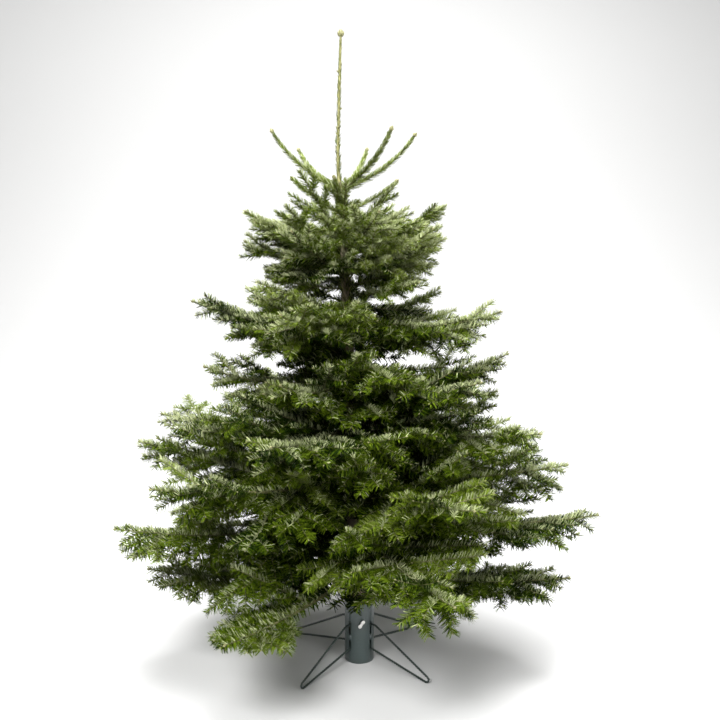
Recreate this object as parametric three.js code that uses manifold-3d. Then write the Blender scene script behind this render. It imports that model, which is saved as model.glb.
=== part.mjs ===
// A cut fir sold as a Christmas tree, standing in its rod-legged steel stand.
//
// The tree is a straight conifer: one trunk runs up through the crown to a long bare-looking
// leader, and whorls of boughs leave it, a year's growth apart. Each bough carries a flat fan
// of needle sprays. The stand is a steel tube on the floor with four legs. Each leg is one
// ribbed rod bent to a long narrow triangle, threaded through two slots in the tube's wall.
//
// Millimetres, +Z up, +Y to the back. The origin is on the floor under the tube's middle.

import * as THREE from "three";
import { mergeVertices } from "three/addons/utils/BufferGeometryUtils.js";
import Module from "manifold-3d";

const wasm = await Module();
wasm.setup();

// ---- Driving dimensions ----

const GAP = 0.3; // clearance between pieces that touch
const TOP = 1880; // height of the leader's bud over the floor
const LEADER_FOOT = 1440; // where the last year's shoot begins
const LEAN = -52; // how far the leader stands to the left of the tube
const LEADER_BOW = -9; // sideways bow of the leader, strongest low down

const TUBE = { radius: 45, wall: 2, height: 190, plate: 3, sides: 28 };
const SLOT = { width: 8, cut: 12, upper: [90, 129], lower: [40, 71] };
const ROD = 6; // diameter of the legs' rod
const ROD_SIDES = 8;
const LEG = {
  reach: 265, // tube axis to the outside of the toe
  toeBend: 9, // radii of the rod's bends, along its axis
  shoulderBend: 12,
  innerBend: 5,
  toeSteps: 5,
  bendSteps: 2,
  hook: 122, // height of the upper rod where it leaves the tube
  stub: 64, // radius at which the upper rod turns down
  heel: 46, // height of the lower rod at the tube
  inside: 39, // radius of the upright stretch behind the tube's wall
  split: 4, // gap between the rod's two ends, behind the bridge
  angles: [50.5, 140.5, 230.5, 320.5],
};

// Trunk radius at heights over the floor: flared butt, even taper, thin leader, bud.
const TRUNK_RADII = [
  [TUBE.plate + GAP, 35.5],
  [60, 34],
  [150, 31.5],
  [300, 29],
  [520, 25],
  [760, 20.5],
  [1000, 15.5],
  [1240, 11],
  [1400, 8],
  [LEADER_FOOT, 6.8],
  [LEADER_FOOT + 45, 5],
  [LEADER_FOOT + 110, 4.6],
  [LEADER_FOOT + 260, 4.2],
  [TOP - 26, 3.6],
  [TOP - 19, 6.4],
  [TOP - 9, 7.2],
  [TOP - 2, 4.6],
  [TOP, 1.6],
];
const TRUNK_SIDES = 10;

// Tiers of limbs, from the top down. azimuths are the limbs' headings in degrees, left and right
// their reach from the trunk's axis towards -X and +X, and root and tip their rise over level
// there, in degrees. scatter is how far they may leave the tier's height, pairs the number of
// side sprays on each side, and bough the bare limb's share of the length.
const TIERS = [
  { name: "top_shoot", z: 1425, azimuths: [4, 68, 134, 184, 317], left: 203, right: 214,
    root: 24, tip: 59, scatter: 3, pairs: 0, bough: 0, width: 12 },
  { name: "upper_shoot", z: 1366, azimuths: [12, 100, 170, 265], left: 155, right: 170,
    root: 27, tip: 44, scatter: 8, pairs: 0, bough: 0, width: 19 },
  { name: "whorl_2_spray", z: 1264, azimuths: [12, 70, 128, 206, 290], left: 300, right: 325,
    root: 12, tip: 32, scatter: 12, pairs: 2, bough: 0, width: 28 },
  { name: "branchlet_spray", z: 1174, azimuths: [28, 112, 172, 244, 320], left: 300, right: 345,
    root: 12, tip: 32, scatter: 18, pairs: 2, bough: 0, width: 26 },
  { name: "whorl_3_spray", z: 1030, azimuths: [352, 62, 134, 188, 246], left: 470, right: 455,
    root: 2, tip: 22, scatter: 18, pairs: 3, bough: 0, width: 34 },
  { name: "whorl_4_spray", z: 872, azimuths: [10, 96, 188, 248, 318], left: 415, right: 505,
    root: -6, tip: 24, scatter: 14, pairs: 3, bough: 0, width: 36 },
  { name: "whorl_5_spray", z: 726, azimuths: [336, 48, 110, 168, 250], left: 640, right: 585,
    root: -4, tip: 12, scatter: 12, pairs: 3, bough: 0, width: 38 },
  { name: "whorl_6_spray", z: 566, azimuths: [6, 84, 168, 218, 300], left: 710, right: 655,
    root: 0, tip: 13, scatter: 16, pairs: 4, bough: 0, width: 38 },
  { name: "whorl_7_spray", z: 425, azimuths: [358, 72, 130, 190, 290], left: 700, right: 735,
    root: -5, tip: 9, scatter: 16, pairs: 3, bough: 0, width: 38 },
  { name: "whorl_8_spray", z: 280, azimuths: [352, 68, 124, 180, 234], left: 640, right: 615,
    root: -4, tip: 10, scatter: 8, pairs: 3, bough: 0.3, width: 38 },
];
const REACH_SWING = 0.04; // share of the reach
const SHALLOW = 0.12; // share by which the crown reaches less to the front and back
const RISE_SWING = 3; // degrees
const SWAY = 8; // degrees that a limb turns aside by its tip
const TIP_BEND = 1.5; // power that puts most of a limb's rise near its tip
const LIMB_STEPS = 24;
const SEED = 1007; // each limb has a stream of its own
const SEED_STEP = 1000;
const LIMB_TIP = 2; // radius of a limb at its tip
const LIMB_TAPER = 0.012; // gain of radius per millimetre of limb
const SHOOT_ROOT = 2.9; // radius of an unbranched shoot at the trunk
const BOUGH_STATIONS = 4;
const BOUGH_SIDES = 6;
const LOWEST = 225; // height that side sprays don't aim below

// Sprays. bare is the stretch before the first tooth, slim the last tooth's width against the
// first one's, and flat a spray's height against its width.
const SHOOT = { teeth: 5, bare: 0.1, slim: 0.62, flat: 0.85 };
const MAIN = { teeth: 4, bare: 0.16, bareOnBough: 0.05, slim: 0.6, flat: 0.8 };
const SIDE = {
  first: 0.2, // first and last node, as shares of the limb's length
  last: 0.8,
  afterBough: 0.08, // share of the limb between a bare bough and the first node
  slip: 0.4, // how far a node may slip outward, as a share of the spacing
  angle: 52, // degrees from the limb
  angleSwing: 6,
  tiltSwing: 34,
  share: 0.58, // length as a share of what is left of the limb, and what is added to that
  shareSwing: 0.12,
  added: 30,
  least: 55,
  forward: 0.16, // how far a side spray sweeps forward and up along its length
  lift: 0.07,
  root: 4, // half-width of its bare foot
  bare: 24,
  mostBare: 0.3,
  slim: 0.45,
  flat: 0.9,
  wide: 22, // half-width of the first tooth, its gain with length, and its most over the limb's
  widening: 0.22,
  wider: 18,
  long: 190, // a spray longer than this has three teeth a side, and not two
};
const OVERHANG = 0.14; // how far a tooth's point passes the next notch
const NOTCH = 0.5; // width at a notch against the width at a point
const POINT = 1.2; // half-width of a spray's end
const LAST_POINT = 0.985; // share of a spray's length that its last tooth may reach
const SPRAY_SIDES = 3;
const TANGENT = 0.02; // share of a line over which its heading is taken

const BARK = new THREE.MeshStandardMaterial({ color: 0x6b5a45, roughness: 0.9 });
const NEEDLES = new THREE.MeshStandardMaterial({ color: 0x4c6b25, roughness: 0.6 });
const PAINTED_STEEL = new THREE.MeshStandardMaterial({ color: 0x39433f, roughness: 0.5, metalness: 0.3 });
const PAINTED_ROD = new THREE.MeshStandardMaterial({ color: 0x1f2a26, roughness: 0.5, metalness: 0.3 });

// ---- Small helpers ----

const UP = new THREE.Vector3(0, 0, 1);
const radians = THREE.MathUtils.degToRad;
const mix = THREE.MathUtils.lerp;

/** A repeatable stream of numbers from 0 to 1. */
function stream(seed) {
  let state = seed >>> 0;
  return () => {
    state = (Math.imul(state, 1664525) + 1013904223) >>> 0;
    return state / 4294967296;
  };
}

/** A number from -swing to swing. */
const swing = (next, size) => (next() * 2 - 1) * size;

/** A closed geometry as a manifold-3d solid. */
function solidOf(geometry) {
  const bare = geometry.clone();
  bare.deleteAttribute("normal");
  bare.deleteAttribute("uv");
  const merged = mergeVertices(bare, 1e-3);
  return new wasm.Manifold(
    new wasm.Mesh({
      numProp: 3,
      vertProperties: merged.attributes.position.array,
      triVerts: new Uint32Array(merged.index.array),
    }),
  );
}

/** A solid as a named mesh. */
function meshOf(name, solid, material) {
  const data = solid.getMesh();
  const geometry = new THREE.BufferGeometry();
  geometry.setAttribute("position", new THREE.BufferAttribute(data.vertProperties, 3));
  geometry.setIndex(new THREE.BufferAttribute(data.triVerts, 1));
  const flat = geometry.toNonIndexed();
  flat.computeVertexNormals();
  const mesh = new THREE.Mesh(flat, material);
  mesh.name = name;
  return mesh;
}

/**
 * A closed tube through stations, each with a point, its half-width and its half-height.
 * It is a unit cylinder whose rings are moved onto the stations.
 */
function sweep(stations, sides, reference = UP) {
  const last = stations.length - 1;
  const frames = stations.map((station, i) => {
    const ahead = stations[Math.min(i + 1, last)];
    const behind = stations[Math.max(i - 1, 0)];
    const along = station.along ?? new THREE.Vector3().subVectors(ahead.point, behind.point).normalize();
    const across = new THREE.Vector3().crossVectors(reference, along).normalize();
    return { across, over: new THREE.Vector3().crossVectors(along, across) };
  });
  const geometry = new THREE.CylinderGeometry(1, 1, 1, sides, last);
  const position = geometry.attributes.position;
  for (let i = 0; i < position.count; i++) {
    const ring = Math.round((0.5 - position.getY(i)) * last);
    const { point, wide, high } = stations[ring];
    const { across, over } = frames[ring];
    const moved = point
      .clone()
      .addScaledVector(across, position.getX(i) * wide)
      .addScaledVector(over, position.getZ(i) * high);
    position.setXYZ(i, moved.x, moved.y, moved.z);
  }
  return geometry;
}

// ---- Trunk ----

/** The trunk's axis at a height: a slight lean, then an upright leader with a bow in it. */
function trunkPoint(z) {
  const lean = LEAN * THREE.MathUtils.clamp((z - TUBE.height) / (LEADER_FOOT - TUBE.height), 0, 1);
  const share = THREE.MathUtils.clamp((z - LEADER_FOOT) / (TOP - LEADER_FOOT), 0, 1);
  return new THREE.Vector3(lean + LEADER_BOW * Math.sin(Math.PI * share ** 0.4), 0, z);
}

function trunkSolid(extra) {
  const stations = TRUNK_RADII.map(([z, radius]) => ({
    point: trunkPoint(z),
    along: UP,
    wide: radius + extra,
    high: radius + extra,
  }));
  return solidOf(sweep(stations, TRUNK_SIDES, new THREE.Vector3(0, 1, 0)));
}

// ---- Limbs ----

/** Where a limb runs: its axis from the trunk's axis to its tip, as evenly spaced points. */
function limbOf(tier, tierIndex, index) {
  const next = stream(SEED + SEED_STEP * tierIndex + 10 * index);
  const azimuth = tier.azimuths[index];
  const height = tier.z + swing(next, tier.scatter);
  const rightward = (1 + Math.cos(radians(azimuth))) / 2;
  const shallower = 1 - SHALLOW * Math.abs(Math.sin(radians(azimuth)));
  const reach = mix(tier.left, tier.right, rightward) * shallower * (1 + swing(next, REACH_SWING));
  const rise = swing(next, RISE_SWING);
  const sway = swing(next, SWAY);

  const steps = [];
  let level = 0;
  for (let i = 0; i < LIMB_STEPS; i++) {
    const share = (i + 0.5) / LIMB_STEPS;
    const elevation = radians(mix(tier.root, tier.tip, share ** TIP_BEND) + rise);
    const heading = radians(azimuth + sway * share);
    level += Math.cos(elevation);
    steps.push(
      new THREE.Vector3(
        Math.cos(heading) * Math.cos(elevation),
        Math.sin(heading) * Math.cos(elevation),
        Math.sin(elevation),
      ),
    );
  }
  const stride = reach / level;
  const points = [trunkPoint(height)];
  for (const step of steps) points.push(points.at(-1).clone().addScaledVector(step, stride));
  const length = stride * LIMB_STEPS;

  const thick = tier.pairs === 0 ? SHOOT_ROOT : LIMB_TIP + LIMB_TAPER * length;
  return { tier, name: tier.name + "_" + (index + 1), next, points, length, thick };
}

/** The point at a share of a limb's length. */
function along(limb, share) {
  const at = THREE.MathUtils.clamp(share, 0, 1) * LIMB_STEPS;
  const i = Math.min(Math.floor(at), LIMB_STEPS - 1);
  return limb.points[i].clone().lerp(limb.points[i + 1], at - i);
}

/** A limb's radius at a share of its length, from its root to its thin tip. */
const limbRadius = (limb, share) => mix(limb.thick, LIMB_TIP, share);

/** The bare stretch of a big limb, cut clear of the trunk. */
function boughSolid(limb, trunkCutter) {
  const stations = Array.from({ length: BOUGH_STATIONS }, (_, i) => {
    const share = (limb.tier.bough * i) / (BOUGH_STATIONS - 1);
    const radius = limbRadius(limb, share);
    return { point: along(limb, share), wide: radius, high: radius };
  });
  return solidOf(sweep(stations, BOUGH_SIDES)).subtract(trunkCutter);
}

/**
 * A spray: a three-sided spindle along a line, bare at its root, with rows of forward-pointing
 * teeth down both sides and along its ridge.
 */
function spray(line, { from, bare, teeth, width, slim, root, flat }) {
  const station = (share, wide, high) => ({ point: line(mix(from, 1, share)), wide, high });
  const widthAt = (share) => (width / Math.cos(Math.PI / SPRAY_SIDES / 2)) * mix(1, slim, share);
  const tooth = (1 - bare) / teeth;
  const stations = [station(0, root, root), station(bare, root, root)];
  for (let k = 0; k < teeth; k++) {
    const notch = bare + tooth * k;
    const point = Math.min(notch + tooth * (1 + OVERHANG), LAST_POINT);
    const wide = widthAt(point);
    const narrow = widthAt(notch) * NOTCH;
    if (k > 0) stations.push(station(notch, narrow, narrow * flat));
    stations.push(station(point, wide, wide * flat));
  }
  stations.push(station(1, POINT, POINT));
  // Each ring faces along the line itself, so that the overhanging teeth don't turn it round.
  stations.forEach((ring, i) => {
    const share = i < 2 ? from : mix(from, 1, Math.min(1 - TANGENT, i / stations.length));
    ring.along = new THREE.Vector3().subVectors(line(share + TANGENT), line(share)).normalize();
  });
  return solidOf(sweep(stations, SPRAY_SIDES));
}

/** A limb's own spray, from the end of its bare bough, or from the trunk, to its tip. */
function mainSpray(limb, trunkCutter) {
  const { tier } = limb;
  const onBough = tier.bough > 0;
  const from = onBough ? tier.bough + GAP / limb.length : 0;
  const shape = tier.pairs > 0 ? MAIN : SHOOT;
  return spray((share) => along(limb, share), {
    ...shape,
    from,
    bare: onBough ? MAIN.bareOnBough : shape.bare,
    width: tier.width,
    root: limbRadius(limb, from),
  }).subtract(trunkCutter);
}

/** The side spray at a node, or null where it would be a stub. */
function sideSpray(limb, pair, side) {
  const { tier, next } = limb;
  const first = Math.max(SIDE.first, tier.bough + SIDE.afterBough);
  const share = mix(first, SIDE.last, (pair + SIDE.slip * next()) / (tier.pairs - 1 + SIDE.slip));
  const angle = radians(SIDE.angle + swing(next, SIDE.angleSwing));
  const hang = radians(swing(next, SIDE.tiltSwing));
  const longer = 1 + swing(next, SIDE.shareSwing);
  const length = SIDE.share * (1 - share) * limb.length * longer + SIDE.added;
  if (length < SIDE.least) return null;

  const root = along(limb, share);
  const lowest = Math.asin(THREE.MathUtils.clamp((LOWEST - root.z) / length, -1, 0));
  const tilt = Math.max(hang, lowest);
  const ahead = along(limb, share + TANGENT).sub(along(limb, share - TANGENT)).normalize();
  const across = new THREE.Vector3().crossVectors(UP, ahead).normalize().multiplyScalar(side);
  const out = ahead
    .clone()
    .multiplyScalar(Math.cos(angle))
    .addScaledVector(across, Math.sin(angle) * Math.cos(tilt))
    .addScaledVector(UP, Math.sin(tilt));
  const line = (t) =>
    root
      .clone()
      .addScaledVector(out, length * t)
      .addScaledVector(ahead, length * SIDE.forward * t * t)
      .addScaledVector(UP, length * SIDE.lift * t * t);
  return spray(line, {
    ...SIDE,
    from: 0,
    bare: Math.min(SIDE.mostBare, SIDE.bare / length),
    teeth: length > SIDE.long ? 3 : 2,
    width: Math.min(tier.width + SIDE.wider, SIDE.wide + SIDE.widening * length),
  });
}

/** Whether two solids overlap. */
function meets(one, other) {
  const a = one.boundingBox();
  const b = other.boundingBox();
  const near = [0, 1, 2].every((i) => a.min[i] <= b.max[i] && b.min[i] <= a.max[i]);
  return near && one.intersect(other).volume() > 0;
}

// ---- Stand ----

/** The steel tube with its closed foot, with two slots in its wall for each leg. */
function tubeSolid() {
  const { radius, wall, height, plate, sides } = TUBE;
  const profile = [
    [0, 0],
    [radius, 0],
    [radius, height],
    [radius - wall, height],
    [radius - wall, plate],
    [0, plate],
  ].map(([x, y]) => new THREE.Vector2(x, y));
  const lathe = new THREE.LatheGeometry(profile, sides);
  lathe.rotateX(Math.PI / 2);
  let tube = solidOf(lathe);
  for (const angle of LEG.angles) {
    for (const [low, high] of [SLOT.lower, SLOT.upper]) {
      const slot = new THREE.BoxGeometry(SLOT.cut, SLOT.width, high - low);
      slot.translate(radius - wall, 0, (low + high) / 2);
      slot.rotateZ(radians(angle));
      tube = tube.subtract(solidOf(slot));
    }
  }
  return tube;
}

/** Where a line from a point touches a circle, on the circle's upper (-1) or lower (1) side. */
function tangentPoint(from, centre, radius, side) {
  const away = new THREE.Vector2().subVectors(from, centre);
  const turn = Math.acos(radius / away.length()) * side;
  return away.setLength(radius).rotateAround(new THREE.Vector2(), turn).add(centre);
}

/** Points on an arc between two points of a circle, ends included. */
function arc(centre, start, end, clockwise, steps) {
  const a = start.clone().sub(centre);
  const b = end.clone().sub(centre);
  let sweepAngle = b.angle() - a.angle();
  if (clockwise && sweepAngle > 0) sweepAngle -= 2 * Math.PI;
  if (!clockwise && sweepAngle < 0) sweepAngle += 2 * Math.PI;
  return Array.from({ length: steps + 1 }, (_, i) =>
    a.clone().rotateAround(new THREE.Vector2(), (sweepAngle * i) / steps).add(centre),
  );
}

/** A corner of the rod, rounded between its two straight stretches. */
function corner(before, at, after, bend, steps) {
  const back = before.clone().sub(at).normalize();
  const on = after.clone().sub(at).normalize();
  const half = Math.acos(THREE.MathUtils.clamp(back.dot(on), -1, 1)) / 2;
  const inset = bend / Math.tan(half);
  const middle = back.clone().add(on).setLength(bend / Math.sin(half)).add(at);
  const start = at.clone().addScaledVector(back, inset);
  const end = at.clone().addScaledVector(on, inset);
  const clockwise = back.cross(on) > 0;
  return arc(middle, start, end, clockwise, steps);
}

/** The leg's rod, in its own upright plane: x is the distance from the tube's axis, y the height. */
function legLine() {
  const point = (x, y) => new THREE.Vector2(x, y);
  const bridge = (SLOT.lower[1] + SLOT.upper[0]) / 2;
  const toe = point(LEG.reach - ROD / 2 - LEG.toeBend, ROD / 2 + LEG.toeBend);
  const innerTop = point(LEG.inside, LEG.hook);
  const shoulder = point(LEG.stub, LEG.hook);
  const heel = point(LEG.inside, LEG.heel);
  const upperEnd = point(LEG.inside, bridge + LEG.split / 2);
  const lowerEnd = point(LEG.inside, bridge - LEG.split / 2);
  const toeTop = tangentPoint(shoulder, toe, LEG.toeBend, -1);
  const toeFoot = tangentPoint(heel, toe, LEG.toeBend, 1);
  return [
    upperEnd,
    ...corner(upperEnd, innerTop, shoulder, LEG.innerBend, LEG.bendSteps),
    ...corner(innerTop, shoulder, toeTop, LEG.shoulderBend, LEG.bendSteps),
    ...arc(toe, toeTop, toeFoot, true, LEG.toeSteps),
    ...corner(toeFoot, heel, lowerEnd, LEG.innerBend, LEG.bendSteps),
    lowerEnd,
  ];
}

function legSolid(angle) {
  const stations = legLine().map(({ x, y }) => ({
    point: new THREE.Vector3(x, 0, y),
    wide: ROD / 2,
    high: ROD / 2,
  }));
  const rod = sweep(stations, ROD_SIDES, new THREE.Vector3(0, 1, 0));
  rod.rotateZ(radians(angle));
  return solidOf(rod);
}

// ---- Assembly ----

const tree = new THREE.Group();
const trunk = trunkSolid(0);
const trunkCutter = trunkSolid(GAP);
tree.add(meshOf("trunk", trunk, BARK));
tree.add(meshOf("stand_tube", tubeSolid(), PAINTED_STEEL));
LEG.angles.forEach((angle, i) => tree.add(meshOf("stand_leg_" + (i + 1), legSolid(angle), PAINTED_ROD)));

const limbs = TIERS.flatMap((tier, tierIndex) =>
  tier.azimuths.map((_, index) => limbOf(tier, tierIndex, index)),
);
const boughs = [];
for (const limb of limbs) {
  limb.pieces = [mainSpray(limb, trunkCutter)];
  if (limb.tier.bough > 0) {
    const bough = boughSolid(limb, trunkCutter);
    boughs.push(bough);
    tree.add(meshOf(limb.name.replace("spray", "bough"), bough, BARK));
  }
}

// Side sprays are dealt out a pair at a time, and one that would meet another limb is left out.
const mostPairs = Math.max(...TIERS.map((tier) => tier.pairs));
for (let pair = 0; pair < mostPairs; pair++) {
  for (const limb of limbs.filter(({ tier }) => pair < tier.pairs)) {
    for (const side of [-1, 1]) {
      const made = sideSpray(limb, pair, side);
      const others = limbs.filter((other) => other !== limb).flatMap((other) => other.pieces);
      if (made !== null && ![trunk, ...boughs, ...others].some((other) => meets(made, other))) {
        limb.pieces.push(made);
      }
    }
  }
}
for (const limb of limbs) {
  // The largest body is the mass: a loose scrap is dropped, and a sealed hollow is filled.
  const [mass] = wasm.Manifold.union(limb.pieces)
    .decompose()
    .sort((a, b) => b.volume() - a.volume());
  tree.add(meshOf(limb.name, mass, NEEDLES));
}

export default tree;
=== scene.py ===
"""The finished look of a cut fir in its rod-legged stand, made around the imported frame.

Metres, +Z up, +Y to the back. The limbs and their side sprays follow the same rule and the same
streams of numbers as the solids do, and are carried on here to finer twigs, needles and buds.
"""

import cmath
import functools
import math

import bpy
import numpy as np
from bpy.props import FloatProperty, FloatVectorProperty, IntProperty, PointerProperty
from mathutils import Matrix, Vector


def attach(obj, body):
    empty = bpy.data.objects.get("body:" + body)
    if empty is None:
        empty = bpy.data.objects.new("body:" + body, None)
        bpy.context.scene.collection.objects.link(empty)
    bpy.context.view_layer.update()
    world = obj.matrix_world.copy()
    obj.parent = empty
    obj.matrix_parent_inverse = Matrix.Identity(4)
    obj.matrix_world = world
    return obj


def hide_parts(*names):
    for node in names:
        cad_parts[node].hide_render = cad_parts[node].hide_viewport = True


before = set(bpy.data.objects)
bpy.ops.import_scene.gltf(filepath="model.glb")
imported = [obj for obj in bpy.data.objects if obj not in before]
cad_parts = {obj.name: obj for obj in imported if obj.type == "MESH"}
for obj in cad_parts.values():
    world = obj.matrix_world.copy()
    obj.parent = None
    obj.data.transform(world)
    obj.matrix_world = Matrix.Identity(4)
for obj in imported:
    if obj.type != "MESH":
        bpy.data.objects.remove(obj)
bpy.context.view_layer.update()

bl_info = {
    "name": "Cut fir in a rod-legged stand",
    "version": (1, 0, 0),
    "blender": (4, 5, 0),
    "location": "3D View > Sidebar > Fir",
    "description": "Makes the fir's bark, twigs, needles and buds, its steel stand, and the stage",
    "category": "Object",
}

BODY = "root"
UP = np.array([0.0, 0.0, 1.0])
MM = 0.001
MICROMETRES = 1e6

# ---- The tree's own measures, in millimetres and degrees, as the solids have them ----

TOP = 1880
LEADER_FOOT = 1440
TUBE_HEIGHT = 190
LEAN = -52
LEADER_BOW = -9
BOW_POWER = 0.4

# The trunk's radius at heights from its foot to the leader's bud.
TRUNK_RADII = (
    (4, 35.5),
    (60, 34),
    (150, 31.5),
    (300, 29),
    (520, 25),
    (760, 20.5),
    (1000, 15.5),
    (1240, 11),
    (1400, 8),
    (LEADER_FOOT, 6.8),
    (LEADER_FOOT + 45, 4.6),
    (LEADER_FOOT + 110, 4.2),
    (LEADER_FOOT + 260, 3.6),
    (TOP - 20, 3.0),
)

# name, height, headings, reach to the left and right, rise at root and tip, scatter, pairs, bough
TIERS = (
    ("top_shoot", 1425, (4, 68, 134, 184, 317), 203, 214, 24, 59, 3, 0, 0),
    ("upper_shoot", 1366, (12, 100, 170, 265), 155, 170, 27, 44, 8, 0, 0),
    ("whorl_2_spray", 1264, (12, 70, 128, 206, 290), 300, 325, 12, 32, 12, 2, 0),
    ("branchlet_spray", 1174, (28, 112, 172, 244, 320), 300, 345, 12, 32, 18, 2, 0),
    ("whorl_3_spray", 1030, (352, 62, 134, 188, 246), 470, 455, 2, 22, 18, 3, 0),
    ("whorl_4_spray", 872, (10, 96, 188, 248, 318), 415, 505, -6, 24, 14, 3, 0),
    ("whorl_5_spray", 726, (336, 48, 110, 168, 250), 640, 585, -4, 12, 12, 3, 0),
    ("whorl_6_spray", 566, (6, 84, 168, 218, 300), 710, 655, 0, 13, 16, 4, 0),
    ("whorl_7_spray", 425, (358, 72, 130, 190, 290), 700, 735, -5, 9, 16, 3, 0),
    ("whorl_8_spray", 280, (352, 68, 124, 180, 234), 640, 615, -4, 10, 8, 3, 0.3),
)
REACH_SWING = 0.04
SHALLOW = 0.12
RISE_SWING = 3
SWAY = 8
TIP_BEND = 1.5
LIMB_STEPS = 24
SEED = 1007
TIER_STEP, LIMB_STEP = 1000, 10
LIMB_TIP = 1.6
LIMB_TAPER = 0.0095
SHOOT_ROOT = 2.9
LOWEST = 225
TANGENT = 0.02

SIDE_FIRST, SIDE_LAST = 0.2, 0.8
AFTER_BOUGH = 0.08
SLIP = 0.4
SIDE_ANGLE, ANGLE_SWING, TILT_SWING = 52, 6, 34
SIDE_SHARE, SHARE_SWING, SIDE_ADDED, LEAST = 0.58, 0.12, 30, 55
FORWARD, LIFT = 0.16, 0.07
SIDE_RADII = (2.6, 1.2)
FINER_RADII = (1.5, 0.9)
SIDE_POINTS, FINER_POINTS = 8, 6

# A twig's spray is a number that its colours and its seed come from. It steps by pair and side.
PAIR_SPRAYS, SIDE_SPRAYS = 20, 5

# Finer twigs, by the order of the twig that they grow on: spacing along it, bare stretch at its
# foot and tip, length as a share of what is left plus what is added, the least length, the angle
# to their parent and how far they hang.
FINER_KEYS = ("spacing", "foot", "tip", "share", "added", "least", "angle", "hang")
FINER = (
    (54, 46, 30, 0.15, 72, 46, 52, -16),
    (62, 40, 34, 0.34, 40, 42, 52, -20),
    (60, 60, 60, 0.36, 22, 46, 52, -12),
)
FINER_HIGH = (
    (54, 34, 34, 0.30, 66, 46, 44, -8),
    (70, 40, 36, 0.36, 42, 50, 42, -14),
    (80, 60, 60, 0.36, 22, 60, 44, 0),
)
HIGH_FROM = 1100
FINER_ANGLE_SWING = 7
FINER_TILT_SWING = 22
FINER_LENGTH_SWING = 0.16
FINER_SLIP, FINER_SHIFT = 0.5, 0.1
FINER_LOWEST = 243
WITHIN_PARENT = 0.95

# A twig's own stream starts at this seed, plus steps by its spray, its place and its order.
FINER_SEED = 90001
SPRAY_SEED, TWIG_SEED, ORDER_SEED = 31, 7, 13

# The stand's front stays in the open: no side twig ends in this box, which has a half width, a
# near and a far depth, and a top.
GAP_WIDE, GAP_NEAR, GAP_FAR, GAP_TOP = 170, -430, -240, 262

# Short inner limbs that leave the trunk between the whorls, by the golden angle. A zone has the
# height that it starts at, the height that it ends at and the height from limb to limb.
INNER_ZONES = ((330, 880, 22), (880, 1180, 12), (1180, 1340, 20))
INNER_TURN, INNER_TURN_SWING = 137.5, 20
INNER_SHARE, INNER_SHORTEST, INNER_SPREAD = 0.74, 0.8, 0.4
INNER_RISE, INNER_RISE_SWING = 10, 20
STEEP_FROM, STEEPER = 1200, 30
INNER_SEED, INNER_SEED_STEP = 70001, 17
INNER_SPRAY = 50000
INNER_NAMES = ("inner_lower", "inner_upper")
INNER_SPLIT = 800
INNER_RADII = (3.0, 1.4)


# ---- Numbers and lines ----


class Stream:
    """A repeatable stream of numbers from 0 to 1, the same as the solids use."""

    def __init__(self, seed):
        self.state = seed & 0xFFFFFFFF

    def next(self):
        self.state = (self.state * 1664525 + 1013904223) & 0xFFFFFFFF
        return self.state / 4294967296

    def swing(self, size):
        return (self.next() * 2 - 1) * size


def mix(a, b, share):
    return a + (b - a) * share


def clamp(value, low, high):
    return max(low, min(high, value))


def unit(vectors):
    """Vectors scaled to length 1, one or many."""
    return vectors / np.linalg.norm(vectors, axis=-1, keepdims=True)


def trunk_point(z):
    """The trunk's axis at a height, in metres, from a height in millimetres."""
    lean = LEAN * clamp((z - TUBE_HEIGHT) / (LEADER_FOOT - TUBE_HEIGHT), 0, 1)
    share = clamp((z - LEADER_FOOT) / (TOP - LEADER_FOOT), 0, 1)
    bow = LEADER_BOW * math.sin(math.pi * share**BOW_POWER)
    return np.array([lean + bow, 0, z]) * MM


class Twig:
    """A limb or twig: its line, its radius at both ends in millimetres, its order, its tier and
    the node that it belongs to, the spray that it is coloured with, and its stream of numbers."""

    def __init__(self, points, radii, order, tier, node, spray, draw):
        self.points = points
        self.radii = (radii[0] * MM, radii[1] * MM)
        self.order = order
        self.tier = tier
        self.node = node
        self.spray = spray
        self.draw = draw
        steps = np.linalg.norm(np.diff(points, axis=0), axis=1)
        self.reached = np.concatenate([[0], np.cumsum(steps)])
        self.length = self.reached[-1]

    def at(self, shares):
        """Points at shares of the length."""
        where = np.atleast_1d(shares) * self.length
        axes = [np.interp(where, self.reached, self.points[:, axis]) for axis in range(3)]
        return np.stack(axes, axis=-1)

    def heading(self, shares):
        """Directions at shares of the length."""
        ahead = np.clip(np.atleast_1d(shares) + TANGENT, 0, 1)
        behind = np.clip(np.atleast_1d(shares) - TANGENT, 0, 1)
        return unit(self.at(ahead) - self.at(behind))

    def radius(self, shares):
        """Radii at shares of the length."""
        return mix(self.radii[0], self.radii[1], shares)

    def is_shoot(self):
        """Whether this is a limb with no side sprays, as those round the leader are."""
        return self.order == 0 and TIERS[self.tier][-2] == 0


# ---- The growth rule ----


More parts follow.
